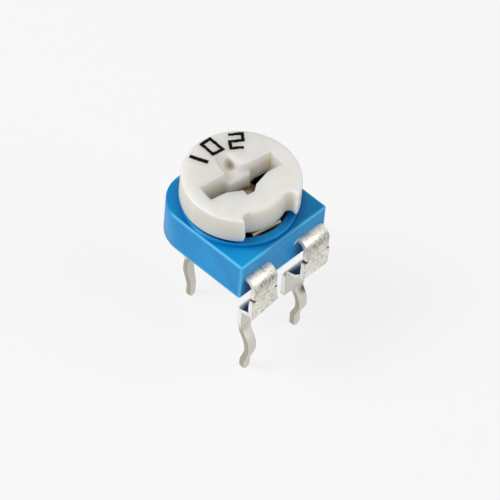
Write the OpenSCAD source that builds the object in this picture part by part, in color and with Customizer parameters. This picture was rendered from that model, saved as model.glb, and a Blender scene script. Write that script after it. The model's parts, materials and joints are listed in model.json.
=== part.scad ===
// Single-turn carbon trimmer potentiometer, top adjusted, for through-hole boards.
// Millimetres. The rotor axis is the Z axis and z = 0 is the board surface on which
// the terminal shoulders stand. The end terminals are at the front, towards -Y.

/* [Base] */
// Width of the moulded base, side to side
base_w = 6.5; // [6.4:0.1:8]
// Depth of the moulded base, front to back
base_d = 6.9; // [6.8:0.1:8.4]
// Height of the moulded base block
base_h = 2.4; // [2.2:0.1:3.4]
// Height of the underside of the base above the board
stand_off = 3.3; // [3:0.05:5]
// Distance from the rotor axis to the front face of the base
axis_to_front = 3.35; // [3.3:0.05:3.7]
// Radius of the two back corners of the base
back_corner_r = 2.2; // [0.6:0.1:2.8]
// Radius of the two front corners of the base
front_corner_r = 0.14; // [0.05:0.01:0.3]
// Bevel along the top edge of the base block
base_bevel = 0.1; // [0.04:0.02:0.2]

/* [Well and hub of the base] */
// Inner radius of the round well that holds the element
well_r = 2.68; // [2.62:0.02:2.76]
// Thickness of the floor under the well
floor_t = 0.62; // [0.5:0.02:0.8]
// Radial width of the rim round the well
rim_w = 0.45; // [0.3:0.05:0.5]
// Height of the rim above the base block
rim_h = 0.24; // [0.1:0.02:0.26]
// Outer radius of the hub in the middle of the well
hub_r = 1.0; // [0.9:0.05:1.1]
// Radial width of the stop ridge on the hub
stop_w = 0.42; // [0.3:0.02:0.5]
// Angle that the stop ridge covers
stop_angle = 110; // [80:5:130]

/* [Rotor] */
// Outer radius of the rotor
rotor_r = 3.25; // [3.15:0.05:3.6]
// Height of the outer wall of the rotor
rotor_h = 1.6; // [1.4:0.05:2.2]
// Clearance between the rim of the base and the wall of the rotor
rotor_gap = 0.32; // [0.2:0.02:0.5]
// Radius of the core of the rotor, seen inside the window in its wall
core_r = 2.58; // [2.5:0.02:2.7]
// Radius of the outer top edge
rotor_edge_r = 0.14; // [0.06:0.02:0.4]
// Radius of the top edge of the core inside the window
core_edge_r = 0.5; // [0.2:0.05:0.7]
// Width of the window in the wall
window_w = 3.36; // [2.6:0.02:3.8]
// Radius of the lower corners of the wall beside the window
window_corner_r = 0.3; // [0.05:0.05:0.35]
// Angle by which the rotor is turned clockwise from the middle of its travel
rest_turn = 10; // [0:1:60]

/* [Driver slot and pointer] */
// Length of the driver slot
slot_len = 4.66; // [4:0.05:4.8]
// Width of the driver slot
slot_w = 1.06; // [0.9:0.02:1.2]
// Distance of the middle of the slot behind the rotor axis
slot_shift = 0.05; // [0:0.01:0.1]
// Radius of the upright corners of the slot
slot_corner_r = 0.06; // [0.02:0.02:0.1]
// Reach of the bow of the slot in front of the rotor axis
bow_reach = 0.86; // [0.7:0.02:1]
// Width of the mouth of the bow along the slot
bow_w = 2.7; // [2.2:0.1:3]
// Radius with which the bow runs into the slot
bow_r = 0.8; // [0.3:0.1:1]
// Width of the small key notch in front of the bow
key_w = 0.45; // [0.3:0.05:0.6]
// Distance of the key notch to the left of the rotor axis
key_shift = 0.29; // [0.2:0.01:0.34]
// Reach of the key notch from the rotor axis
key_reach = 1.24; // [1.1:0.02:1.4]
// Width by which the key notch opens towards the right
key_flare = 0.4; // [0.2:0.05:0.5]
// Width of the block under the mouth of the pointer
block_w = 1.52; // [1.2:0.02:1.6]
// Distance of the face of the block behind the rotor axis
block_front = 0.28; // [0.2:0.02:0.36]
// Distance of the middle of the block to the right of the rotor axis
block_shift = 0.16; // [0:0.02:0.2]
// Width of the pointer at the slot
pointer_mouth_w = 0.96; // [0.8:0.02:1]
// Width of the pointer at its end
pointer_end_w = 0.64; // [0.4:0.02:0.8]
// Distance of the pointer to the left of the rotor axis
pointer_shift = 0.12; // [0:0.02:0.16]
// Reach of the pointer from the rotor axis
pointer_reach = 1.74; // [1.5:0.02:2]
// Depth of the pointer at the slot
pointer_depth = 0.6; // [0.4:0.05:0.9]
// Depth of the pointer at its end
pointer_end_depth = 0.26; // [0.1:0.02:0.4]
// Distance from the rotor axis to where the floor of the pointer starts to rise
pointer_rise = 1.16; // [0.9:0.02:1.3]

/* [Eyelet] */
// Outer radius of the eyelet tube
eyelet_r = 0.56; // [0.5:0.02:0.6]
// Wall of the eyelet tube
eyelet_wall = 0.14; // [0.1:0.02:0.2]
// Radius of the rolled heads of the eyelet
eyelet_head_r = 0.84; // [0.76:0.02:0.86]
// Radius of the roll between the tube and a head, on the outside of the sheet
eyelet_roll = 0.2; // [0.16:0.02:0.24]

/* [Element and wiper] */
// Thickness of the board of the resistive element
element_t = 0.5; // [0.4:0.02:0.6]
// Mean radius of the carbon track
track_r = 2.05; // [2:0.02:2.1]
// Width of the carbon track
track_w = 0.7; // [0.5:0.05:0.8]
// Angle of the gap between the ends of the track
track_gap = 110; // [80:5:110]
// Height of the carbon track above its board
track_t = 0.04; // [0.02:0.01:0.06]
// Sheet thickness of the wiper contact
wiper_t = 0.14; // [0.1:0.02:0.16]
// Width of the plate of the wiper contact
plate_w = 2.3; // [2.1:0.05:2.6]
// Width of the straight front edge of the wiper contact
wiper_edge_w = 1.8; // [1.4:0.1:2.2]
// Reach of the straight front edge from the rotor axis
wiper_reach = 2.5; // [2.2:0.05:2.55]
// Width of the pair of contact fingers
finger_w = 0.9; // [0.6:0.05:1.1]

/* [Terminals] */
// Sheet thickness of the three terminals
sheet_t = 0.3; // [0.2:0.02:0.36]
// Distance between the two end terminals
terminal_pitch = 4.0; // [3.8:0.05:4.4]
// Distance from the row of end legs back to the wiper leg
row_pitch = 5.3; // [5:0.05:5.6]
// Distance of the wiper leg to the left of the rotor axis
wiper_leg_shift = 0.5; // [0:0.05:0.6]
// Width of the strap of an end terminal, above its nicks
strap_w = 1.74; // [1.5:0.02:1.9]
// Width by which the strap is wider below its nicks, on each side
strap_step = 0.08; // [0.02:0.02:0.12]
// Height of the nicks above the board
nick_z = 3.3; // [2.9:0.05:3.45]
// Height of a nick
nick_h = 0.1; // [0.06:0.02:0.16]
// Distance of the strap in front of the base
strap_gap = 0.44; // [0.2:0.02:0.6]
// Depth of the shelf folded back under the strap
shelf_depth = 1.05; // [0.8:0.05:1.2]
// Height of the shelf above the board, at the strap
shelf_h = 1.84; // [1.5:0.02:2.2]
// How much lower the shelf is at its back than at the strap
shelf_drop = 0.2; // [0:0.02:0.24]
// Reach of the shelf from the middle of the strap away from the other terminal
shelf_out = 0.72; // [0.6:0.02:0.86]
// Reach of the shoulder from the middle of the leg towards the other terminal
shoulder_in = 1.15; // [0.9:0.05:1.4]
// Reach of the shoulder from the middle of the leg away from the other terminal
shoulder_out = 0.52; // [0.46:0.02:0.6]
// Height of the taper between the shoulder and the outer edge of the leg
neck_h = 0.7; // [0.4:0.05:0.9]
// Radius of the bend at the top of the strap, to the middle of the sheet
strap_bend_r = 0.5; // [0.3:0.05:0.6]
// Radius of the folds at the shelf, to the middle of the sheet
fold_r = 0.22; // [0.18:0.02:0.3]
// Radius of the corners where the outline of the sheet steps in
corner_r = 0.3; // [0.1:0.05:0.35]
// Width of the legs
leg_w = 0.64; // [0.5:0.02:0.9]
// Length of the legs below the board
leg_len = 3.45; // [3:0.05:4]
// Distance from the board down to the flat bottom of the snap kink
kink_top = 0.85; // [0.8:0.05:1]
// Length of the flat bottom of the snap kink
kink_flat = 0.65; // [0.5:0.05:0.8]
// Height of the slope from the shoulder down into the snap kink
kink_lead = 0.7; // [0.5:0.05:0.75]
// Height of the slope from the snap kink down to the straight tip
kink_tail = 1.0; // [0.7:0.05:1.1]
// Depth of the snap kink in the legs of the end terminals
kink = 0.42; // [0.1:0.02:0.6]
// Depth of the snap kink in the leg of the wiper terminal
wiper_kink = 0.3; // [0.1:0.02:0.6]
// How much lower the snap kink sits in the left leg than in the right one
left_kink_drop = 0.3; // [0:0.05:0.35]

/* [Fine fits] */
// Clearance of pieces that turn or slide on each other
slip = 0.03; // [0.02:0.01:0.05]
// Clearance round pieces that are assembled and stay put
seat = 0.02; // [0.01:0.01:0.03]
// Angle that the stop lug of the rotor covers
lug_angle = 24; // [16:1:30]
// Angle by which the hole for the lug is wider than the lug
lug_play = 4; // [2:1:6]
// How far the stop lug reaches down beside the stop ridge
lug_drop = 0.3; // [0.2:0.05:0.5]
// How far the seat of the wiper contact stands below the core of the rotor
boss_drop = 0.12; // [0.08:0.02:0.16]
// How far the core of the rotor stands below its wall
core_step = 0.06; // [0.02:0.02:0.1]
// Width of the ring of the wiper contact outside its seat
plate_margin = 0.2; // [0.1:0.05:0.3]
// Gap between the two contact fingers
finger_slit = 0.1; // [0.06:0.02:0.2]
// How far a finger runs outside the middle of the track before it turns down
finger_over = 0.42; // [0.3:0.02:0.44]
// How far a finger touches the track outside its middle
finger_touch = 0.1; // [0:0.02:0.16]
// Length of the raised end of a finger
finger_tail = 0.45; // [0.3:0.05:0.5]
// Height of the raised end of a finger above the track
finger_lift = 0.25; // [0.1:0.05:0.4]
// Radial width of the ring of the wiper terminal round its eyelet
ring_w = 0.6; // [0.4:0.05:0.8]
// Width of the wiper terminal between its ring and its leg
tail_w = 1.3; // [0.9:0.05:1.6]

/* [Hidden] */
$fn = 96;

// How far a cutting shape runs past the face it opens
cut = 0.5;

base_top = stand_off + base_h;
rim_top = base_top + rim_h;
well_floor = stand_off + floor_t;
element_top = well_floor + element_t;
rotor_bottom = rim_top + rotor_gap;
rotor_top = rotor_bottom + rotor_h;
core_bottom = rotor_bottom - core_step;
boss_bottom = core_bottom - boss_drop;
wiper_bottom = boss_bottom - wiper_t;
head_bottom = boss_bottom + slip;
slot_front = slot_shift - slot_w / 2;
slot_back = slot_shift + slot_w / 2;
hub_top = wiper_bottom - slip;
pivot_r = eyelet_r + slip;
tube_hole_r = eyelet_r + seat;
bore_r = eyelet_r - eyelet_wall;
boss_r = hub_r + stop_w;
ring_r = eyelet_r + ring_w;
lug_r = hub_r + 2 * slip;
lug_bottom = hub_top - lug_drop;
plate_r = boss_r + plate_margin;
finger_strip_w = (finger_w - finger_slit) / 2;
touch_z = element_top + track_t + slip + wiper_t / 2;
strap_z = element_top + sheet_t / 2;
strap_x = terminal_pitch / 2;
strap_y = -(axis_to_front + strap_gap + sheet_t / 2);
leg_y = strap_y + shelf_depth;
shelf_back_h = shelf_h - shelf_drop;
wiper_leg_y = leg_y + row_pitch;

// Radius of corners that are nearly sharp
edge_r = 0.04;
// Radii of the four bends of a leg and of the two bends of a contact finger
LEG_RADII = [0.3, 1.1, 1.1, 0.8];
FINGER_RADII = [0.2, 0.2];
// Steps along a bend of the sheet, a rounded edge and a sector
BEND_STEPS = 6;
EDGE_STEPS = 8;
SECTOR_STEPS = 10;

// ---- sheet-metal helpers: a bent strip is a path with rounded corners and a thickness ----

function unit(v) = v / norm(v);
function left_of(v) = [-v[1], v[0]];
function backwards(list) = [for (i = [len(list) - 1 : -1 : 0]) list[i]];

// Points of the bend that replaces the corner q between p and s
function bend_points(p, q, s, r) =
    let (along = unit(q - p),
         onward = unit(s - q),
         turn_side = sign(along[0] * onward[1] - along[1] * onward[0]),
         turn = acos(along * onward),
         start = q - along * r * tan(turn / 2),
         centre = start + left_of(along) * r * turn_side)
    [for (i = [0 : BEND_STEPS])
        let (a = turn_side * turn * i / BEND_STEPS, arm = start - centre)
        centre + [arm[0] * cos(a) - arm[1] * sin(a), arm[0] * sin(a) + arm[1] * cos(a)]];

// Path whose inner corners are bent to the radii in radii, one for each corner
function bent_path(pts, radii) =
    concat([pts[0]],
           [for (i = [1 : len(pts) - 2]) each bend_points(pts[i - 1], pts[i], pts[i + 1], radii[i - 1])],
           [pts[len(pts) - 1]]);

// Closed outline whose corners, each given as [x, y, radius], are rounded
function corner(list, i) = let (c = list[(i + len(list)) % len(list)]) [c[0], c[1]];
function rounded(list) =
    [for (i = [0 : len(list) - 1])
        each bend_points(corner(list, i - 1), corner(list, i), corner(list, i + 1), list[i][2])];

// The path moved sideways by d, to its left
function beside(path, d) =
    [for (i = [0 : len(path) - 1])
        let (before = unit(path[max(i, 1)] - path[max(i, 1) - 1]),
             after = unit(path[min(i, len(path) - 2) + 1] - path[min(i, len(path) - 2)]),
             middle = unit(before + after))
        path[i] + left_of(middle) * d / (middle * after)];

// Bent strip whose side view lies in the YZ plane, as wide as w along X
module bent_strip(path, t, w)
    rotate([90, 0, 90])
        linear_extrude(w, center = true)
            polygon(concat(beside(path, t / 2), backwards(beside(path, -t / 2))));

// Plate outline in the XZ plane, thick enough to trim any strip
module front_trim()
    rotate([90, 0, 0])
        linear_extrude(4 * base_d, center = true)
            children();

// Leg outline below the shoulder, with a round tip
module leg_outline() {
    translate([-leg_w / 2, -leg_len + leg_w / 2])
        square([leg_w, leg_len - leg_w / 2 + cut]);
    translate([0, -leg_len + leg_w / 2])
        circle(leg_w / 2);
}

// Side view of a leg from its shoulder down, with its kink at the height z;
// a negative depth points the kink to the front
function leg_path(y, depth, z) =
    [[y, z + kink_lead],
     [y + depth, z],
     [y + depth, z - kink_flat],
     [y, z - kink_flat - kink_tail],
     [y, -leg_len]];

// ---- moulded base ----
// Outline of the base, inset by an equal bevel all round
module base_outline(inset) {
    w = base_w - 2 * inset;
    front = -axis_to_front + inset;
    back = base_d - axis_to_front - inset;
    rb = back_corner_r - inset;
    rf = front_corner_r;
    translate([-w / 2, front + rf])
        square([w, back - front - rf - rb]);
    translate([-w / 2 + rf, front])
        square([w - 2 * rf, rf + cut]);
    translate([-w / 2 + rb, back - rb - cut])
        square([w - 2 * rb, rb + cut]);
    for (side = [-1, 1]) {
        translate([side * (w / 2 - rb), back - rb])
            circle(rb);
        translate([side * (w / 2 - rf), front + rf])
            circle(rf, $fn = 24);
    }
}

module base_block() {
    hull() {
        translate([0, 0, stand_off])
            linear_extrude(base_h - base_bevel)
                base_outline(0);
        translate([0, 0, stand_off])
            linear_extrude(base_h)
                base_outline(base_bevel);
    }
}

// Sector from the axis outwards, centred on the front
module front_sector(angle, reach)
    polygon(concat([[0, 0]],
                   [for (i = [0 : SECTOR_STEPS])
                       let (a = -90 + angle * (i / SECTOR_STEPS - 0.5))
                       [2 * reach * cos(a), 2 * reach * sin(a)]]));

module hub() {
    translate([0, 0, well_floor - cut / 2])
        cylinder(h = hub_top - well_floor + cut / 2, r = hub_r);
    translate([0, 0, well_floor - cut / 2])
        linear_extrude(hub_top - well_floor + cut / 2)
            intersection() {
                circle(boss_r);
                front_sector(stop_angle, well_r);
            }
}

module base() color("#2b86c9") {
    difference() {
        union() {
            difference() {
                union() {
                    base_block();
                    translate([0, 0, base_top - cut])
                        cylinder(h = rim_h + cut, r = well_r + rim_w);
                }
                translate([0, 0, well_floor])
                    cylinder(h = base_h + cut, r = well_r);
            }
            hub();
        }
        translate([0, 0, stand_off - cut])
            cylinder(h = base_h + rim_h + 2 * cut, r = tube_hole_r);
        // slots for the straps of the end terminals
        for (side = [-1, 1])
            translate([side * strap_x - strap_w / 2 - seat, -axis_to_front - cut, strap_z - sheet_t / 2])
                cube([strap_w + 2 * seat, axis_to_front - track_r + cut, sheet_t + seat]);
        // channel for the wiper terminal in the underside
        wiper_channel();
    }
}

module wiper_channel()
    translate([0, 0, stand_off - cut]) {
        cylinder(h = cut + sheet_t, r = ring_r + seat);
        translate([-wiper_leg_shift - tail_w / 2 - seat, 0, 0])
            cube([tail_w + 2 * seat, wiper_leg_y + 2 * sheet_t, cut + sheet_t]);
    }

// ---- rotor ----
// Quarter round between a wall at radius r and a top at height z
function round_edge(r, z, edge) =
    [for (i = [0 : EDGE_STEPS])
        let (a = 90 * i / EDGE_STEPS)
        [r - edge + edge * cos(a), z - edge + edge * sin(a)]];

module rotor_blank()
    rotate_extrude()
        polygon(concat([[0, boss_bottom], [boss_r, boss_bottom], [boss_r, core_bottom],
                        [core_r, core_bottom], [core_r, rotor_bottom], [rotor_r, rotor_bottom]],
                       round_edge(rotor_r, rotor_top, rotor_edge_r),
                       [[0, rotor_top]]));

module rotor_core()
    rotate_extrude()
        polygon(concat([[0, boss_bottom - cut], [core_r, boss_bottom - cut]],
                       round_edge(core_r, rotor_top, core_edge_r),
                       [[0, rotor_top]]));

// Front view of the window: open below, where the corners of the wall are round
function window_outline() =
    let (half = window_w / 2, far = window_w / 2 + 2 * window_corner_r)
    rounded([[-half, rotor_top + cut, slot_corner_r],
             [-half, rotor_bottom, window_corner_r],
             [-far, rotor_bottom, slot_corner_r],
             [-far, rotor_bottom - cut, slot_corner_r],
             [far, rotor_bottom - cut, slot_corner_r],
             [far, rotor_bottom, slot_corner_r],
             [half, rotor_bottom, window_corner_r],
             [half, rotor_top + cut, slot_corner_r]]);

module wall_window()
    difference() {
        rotate([90, 0, 0])
            linear_extrude(rotor_r + cut)
                polygon(window_outline());
        rotor_core();
    }

// Outline of the slot, with its bow, key notch and the block that stands into it
function slot_outline() =
    rounded([[-slot_len / 2, slot_front, slot_corner_r],
             [-bow_w / 2, slot_front, bow_r],
             [-key_shift - key_w / 2, -bow_reach, slot_corner_r],
             [-key_shift - key_w / 2, -key_reach, slot_corner_r],
             [-key_shift + key_w / 2, -key_reach, slot_corner_r],
             [-key_shift + key_w / 2 + key_flare, -bow_reach, slot_corner_r],
             [bow_w / 2, slot_front, bow_r],
             [slot_len / 2, slot_front, slot_corner_r],
             [slot_len / 2, slot_back, slot_corner_r],
             [block_shift + block_w / 2, slot_back, slot_corner_r],
             [block_shift + block_w / 2, block_front, slot_corner_r],
             [block_shift - block_w / 2, block_front, slot_corner_r],
             [block_shift - block_w / 2, slot_back, slot_corner_r],
             [-slot_len / 2, slot_back, slot_corner_r]]);

// Outline of the pointer, which narrows towards its end
function pointer_outline() =
    rounded([[block_shift - block_w / 2, 0, slot_corner_r],
             [block_shift + block_w / 2, 0, slot_corner_r],
             [block_shift + block_w / 2, slot_back, slot_corner_r],
             [-pointer_shift + pointer_mouth_w / 2, slot_back, slot_corner_r],
             [-pointer_shift + pointer_end_w / 2, pointer_reach, slot_corner_r],
             [-pointer_shift - pointer_end_w / 2, pointer_reach, slot_corner_r],
             [-pointer_shift - pointer_mouth_w / 2, slot_back, slot_corner_r]]);

module driver_slot()
    translate([0, 0, boss_bottom - cut])
        linear_extrude(rotor_top - boss_bottom + 2 * cut)
            polygon(slot_outline());

// Pointer with a floor that rises towards its end
module pointer()
    intersection() {
        translate([0, 0, rotor_bottom])
            linear_extrude(rotor_h + cut)
                polygon(pointer_outline());
        rotate([90, 0, 90])
            linear_extrude(2 * rotor_r, center = true)
                polygon([[-cut, rotor_top - pointer_depth],
                         [pointer_rise, rotor_top - pointer_depth],
                         [pointer_reach, rotor_top - pointer_end_depth],
                         [rotor_r, rotor_top + cut],
                         [-cut, rotor_top + cut]]);
    }

module rotor() color("#e4e1d8")
    rotate(-rest_turn)
        difference() {
            union() {
                difference() {
                    rotor_blank();
                    wall_window();
                }
                stop_lug();
            }
            driver_slot();
            pointer();
            // round recess in the underside, over the upper head of the eyelet
            translate([0, 0, boss_bottom - cut])
                cylinder(h = cut + 2 * slip + eyelet_wall, r = eyelet_head_r + 2 * slip);
        }

// Lug that meets the stop ridge of the hub at both ends of the travel
module stop_lug()
    translate([0, 0, lug_bottom])
        linear_extrude(rotor_bottom - lug_bottom)
            difference() {
                intersection() {
                    circle(boss_r);
                    rotate(180)
                        front_sector(lug_angle, well_r);
                }
                circle(lug_r);
            }

// ---- resistive element ----
module resistive_element() color("#6b4a2b") {
    translate([0, 0, well_floor])
        linear_extrude(element_t)
            difference() {
                circle(well_r - seat);
                circle(boss_r + seat);
            }
    translate([0, 0, element_top])
        linear_extrude(track_t)
            difference() {
                circle(track_r + track_w / 2);
                circle(track_r - track_w / 2);
                front_sector(track_gap, well_r);
            }
}

// ---- wiper contact ----
module wiper_contact() color("#b89a5a")
    rotate(-rest_turn) {
        difference() {
            translate([0, 0, wiper_bottom])
                linear_extrude(wiper_t)
                    difference() {
                        union() {
                            intersection() {
                                circle(plate_r);
                                square([plate_w, 2 * plate_r], center = true);
                            }
                            translate([-wiper_edge_w / 2, -wiper_reach])
                                square([wiper_edge_w, wiper_reach]);
                        }
                        circle(pivot_r);
                    }
            stop_lug_hole();
        }
        for (side = [-1, 1])
            translate([side * (finger_slit + finger_strip_w) / 2, 0, 0])
                bent_strip(finger_path(), wiper_t, finger_strip_w);
    }

// Side view of a finger: from the plate outwards, down to the track and up at its end
function finger_path() =
    bent_path([[plate_r - plate_margin, wiper_bottom + wiper_t / 2],
               [track_r + finger_over, wiper_bottom + wiper_t / 2],
               [track_r + finger_touch, touch_z],
               [track_r + finger_touch - finger_tail, touch_z + finger_lift]],
              FINGER_RADII);

module stop_lug_hole()
    translate([0, 0, wiper_bottom - cut])
        linear_extrude(wiper_t + 2 * cut)
            difference() {
                intersection() {
                    circle(boss_r + seat);
                    rotate(180)
                        front_sector(lug_angle + lug_play, well_r);
                }
                circle(hub_r + slip);
            }

// ---- eyelet ----
// Roll of the sheet between the bore of the tube and the face of a head;
// side is 1 for the upper head and -1 for the lower one
function rolled(face, side) =
    [for (i = [0 : EDGE_STEPS])
        let (a = 90 * i / EDGE_STEPS)
        [bore_r + eyelet_roll * (1 - cos(a)), face - side * eyelet_roll * (1 - sin(a))]];

module center_eyelet() color("#8a6a45") {
    top = head_bottom + eyelet_wall;
    bottom = stand_off - eyelet_wall;
    rotate_extrude()
        polygon(concat(backwards(rolled(bottom, -1)),
                       rolled(top, 1),
                       [[eyelet_head_r, top],
                        [eyelet_head_r, head_bottom],
                        [eyelet_r, head_bottom],
                        [eyelet_r, stand_off],
                        [eyelet_head_r, stand_off],
                        [eyelet_head_r, bottom]]));
}

// ---- terminals ----
module wiper_terminal() color("#bdb9ad") {
    difference() {
        union() {
            translate([0, 0, stand_off])
                cylinder(h = sheet_t, r = ring_r);
            intersection() {
                translate([-wiper_leg_shift, 0, 0])
                    bent_strip(wiper_path(), sheet_t, tail_w);
                translate([-wiper_leg_shift, 0, 0])
                    front_trim() {
                        translate([-tail_w / 2, 0])
                            square([tail_w, stand_off + base_h]);
                        leg_outline();
                    }
            }
        }
        translate([0, 0, stand_off - cut])
            cylinder(h = sheet_t + 2 * cut, r = tube_hole_r);
    }
}

function wiper_path() =
    bent_path(concat([[0, stand_off + sheet_t / 2],
                      [wiper_leg_y, stand_off + sheet_t / 2]],
                     leg_path(wiper_leg_y, wiper_kink, -kink_top)),
              concat([fold_r], LEG_RADII));

function end_path(kink_drop) =
    bent_path(concat([[-track_r, strap_z],
                      [strap_y, strap_z],
                      [strap_y, shelf_h],
                      [leg_y, shelf_back_h]],
                     leg_path(leg_y, -kink, -kink_top - kink_drop)),
              concat([strap_bend_r, fold_r, fold_r], LEG_RADII));

// End terminal on the right; the left one is its mirror image with a lower kink
module end_terminal(kink_drop)
    translate([strap_x, 0, 0])
        intersection() {
            bent_strip(end_path(kink_drop), sheet_t, 4 * strap_w);
            union() {
                // strap, in front of the base and through it
                intersection() {
                    front_trim()
                        strap_outline();
                    union() {
                        translate([-strap_w, strap_y - sheet_t, 0])
                            cube([2 * strap_w, sheet_t + fold_r + sheet_t, 2 * base_top]);
                        translate([-strap_w, strap_y, stand_off])
                            cube([2 * strap_w, base_d, base_h]);
                    }
                }
                // shelf
                translate([-strap_w / 2 - strap_step, strap_y, shelf_back_h - sheet_t])
                    cube([strap_w / 2 + strap_step + shelf_out, shelf_depth, 2 * sheet_t + shelf_drop]);
                // shoulder and leg, behind the strap
                intersection() {
                    front_trim() {
                        shoulder_outline();
                        leg_outline();
                    }
                    translate([-2 * strap_w, leg_y - fold_r - sheet_t, -2 * leg_len])
                        cube([4 * strap_w, base_d, 2 * leg_len + stand_off]);
                }
            }
        }

// Strap with a nick in each edge, wider below the nicks and with round lower corners
module strap_outline() {
    strap_bottom = shelf_h - sheet_t / 2;
    wide = strap_w + 2 * strap_step;
    narrow = strap_w - strap_step;
    translate([-strap_w / 2, nick_z + nick_h])
        square([strap_w, 2 * base_top]);
    translate([-narrow / 2, nick_z - cut])
        square([narrow, 2 * cut]);
    translate([-wide / 2, strap_bottom + corner_r])
        square([wide, nick_z - strap_bottom - corner_r]);
    translate([-wide / 2 + corner_r, strap_bottom])
        square([wide - 2 * corner_r, 2 * corner_r]);
    for (side = [-1, 1])
        translate([side * (wide / 2 - corner_r), strap_bottom + corner_r])
            circle(corner_r, $fn = 32);
}

// Shoulder that stands on the board: a round ear on one side, a taper to the leg on the other
module shoulder_outline() {
    shoulder_top = shelf_back_h + sheet_t / 2;
    polygon(rounded([[-shoulder_in, 0, edge_r],
                     [-leg_w / 2, 0, edge_r],
                     [-leg_w / 2, -neck_h / 2, edge_r],
                     [leg_w / 2, -neck_h / 2, edge_r],
                     [shoulder_out, neck_h / 2, corner_r],
                     [shoulder_out, shoulder_top, edge_r],
                     [-shoulder_in, shoulder_top, corner_r]]));
}

module left_terminal() color("#c2bfb4")
    mirror([1, 0, 0])
        end_terminal(left_kink_drop);

module right_terminal() color("#c2bfb4")
    end_terminal(0);

base();
rotor();
resistive_element();
wiper_contact();
center_eyelet();
wiper_terminal();
left_terminal();
right_terminal();
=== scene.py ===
# %% [markdown]
# # A trimmer potentiometer
# A trimmer is a small resistor that is set once with a screwdriver: a white rotor on a blue
# moulded base, with three legs of tinned sheet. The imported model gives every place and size, and
# this lesson makes each visible piece anew, with the edges, bends and surfaces of the real ones.

# %% Load the frame
import json
import math
import random
from contextlib import contextmanager
from functools import reduce

import bmesh
import bpy
from mathutils import Matrix, Vector
from mathutils.geometry import intersect_point_line


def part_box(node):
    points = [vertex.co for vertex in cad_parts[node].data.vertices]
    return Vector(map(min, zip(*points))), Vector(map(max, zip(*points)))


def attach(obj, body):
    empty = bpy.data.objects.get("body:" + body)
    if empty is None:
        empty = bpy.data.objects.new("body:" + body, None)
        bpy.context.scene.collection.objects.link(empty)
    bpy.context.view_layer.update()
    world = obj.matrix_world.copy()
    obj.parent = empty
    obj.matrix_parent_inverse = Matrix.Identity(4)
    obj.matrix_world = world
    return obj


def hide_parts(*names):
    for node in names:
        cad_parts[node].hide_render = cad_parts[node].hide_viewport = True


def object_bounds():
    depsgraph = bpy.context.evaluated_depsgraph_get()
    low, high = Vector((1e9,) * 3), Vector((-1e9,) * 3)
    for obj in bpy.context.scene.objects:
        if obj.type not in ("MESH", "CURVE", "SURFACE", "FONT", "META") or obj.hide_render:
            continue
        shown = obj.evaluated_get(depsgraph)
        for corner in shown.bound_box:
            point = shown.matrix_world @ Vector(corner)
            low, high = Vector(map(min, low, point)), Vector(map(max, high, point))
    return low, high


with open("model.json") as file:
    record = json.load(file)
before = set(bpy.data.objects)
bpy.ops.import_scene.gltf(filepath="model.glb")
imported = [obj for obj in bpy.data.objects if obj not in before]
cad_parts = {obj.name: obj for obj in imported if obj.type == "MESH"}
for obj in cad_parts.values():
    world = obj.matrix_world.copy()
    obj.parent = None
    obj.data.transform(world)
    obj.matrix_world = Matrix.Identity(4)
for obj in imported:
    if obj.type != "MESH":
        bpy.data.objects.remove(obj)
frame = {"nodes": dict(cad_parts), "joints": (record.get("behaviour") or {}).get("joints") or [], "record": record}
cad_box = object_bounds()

print("nodes:", ", ".join(sorted(frame["nodes"])))
print("box in mm:", [[round(v * 1000, 2) for v in corner] for corner in cad_box])

# %% [markdown]
# ## Sizes
# Some of Blender's tools merge points that lie close together, and this part is tiny. So each
# piece is modelled with one unit for a millimetre and shrunk at the end. Places are read from
# the frame, and only sizes inside a piece are written here.

# %% Read the places of the nodes
MM = 0.001


def box_mm(node):
    """Lowest and highest corner of a node, in millimetres."""
    low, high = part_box(node)
    return low / MM, high / MM


base_low, base_high = box_mm("base")
rotor_low, rotor_high = box_mm("rotor")
element_low, element_high = box_mm("resistive_element")
eyelet_low, eyelet_high = box_mm("center_eyelet")
strap_low, strap_high = box_mm("right_terminal")
wiper_top = box_mm("wiper_contact")[1].z

mounts = {mount["name"]: mount for mount in frame["record"]["mounts"]}
leg_pitch = mounts["end_legs"]["dims"]["spacing_x_mm"]
leg_y = mounts["end_legs"]["pos_m"][1] / MM
wiper_leg_x, wiper_leg_y = (v / MM for v in mounts["wiper_leg"]["pos_m"][:2])
slot_length = mounts["driver_slot"]["dims"]["slot_length_mm"]
rest_turn = -sum(frame["joints"][0]["range_deg"]) / 2
print(f"rotor turned {rest_turn:g} degrees, slot {slot_length:g} mm")

# %% [markdown]
# ## Start, edit and select
# Modelling by hand is a round of the same moves: add a primitive, enter edit mode, select some
# edges or faces, and run an operator, which acts on all that is selected.

# %% Start, edit and select
def select_only(piece):
    """Makes a piece the only one selected, and active."""
    bpy.ops.object.select_all(action="DESELECT")
    piece.select_set(True)
    bpy.context.view_layer.objects.active = piece


def settle(piece):
    """Fixes the place, turn and size of a piece in its mesh."""
    select_only(piece)
    bpy.ops.object.transform_apply(location=True, rotation=True, scale=True)
    return piece


def start(name, operator, scale=(1, 1, 1), **settings):
    operator(**settings)
    piece = bpy.context.object
    piece.name = piece.data.name = name
    piece.scale = scale
    return settle(piece)


def select_all(action="SELECT"):
    bpy.ops.mesh.select_all(action=action)


@contextmanager
def editing(piece, mode="FACE"):
    """Edit mode on one piece, with nothing selected."""
    select_only(piece)
    bpy.ops.object.mode_set(mode="EDIT")
    bpy.ops.mesh.select_mode(type=mode)
    select_all("DESELECT")
    yield
    bpy.ops.object.mode_set(mode="OBJECT")


def pick(piece, kind, test):
    """Selects the vertices, edges or faces that pass the test."""
    select_all("DESELECT")
    mesh = bmesh.from_edit_mesh(piece.data)
    for part in getattr(mesh, kind):
        part.select_set(bool(test(part)))
    bmesh.update_edit_mesh(piece.data)


print("ready to start, edit and pick")

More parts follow.
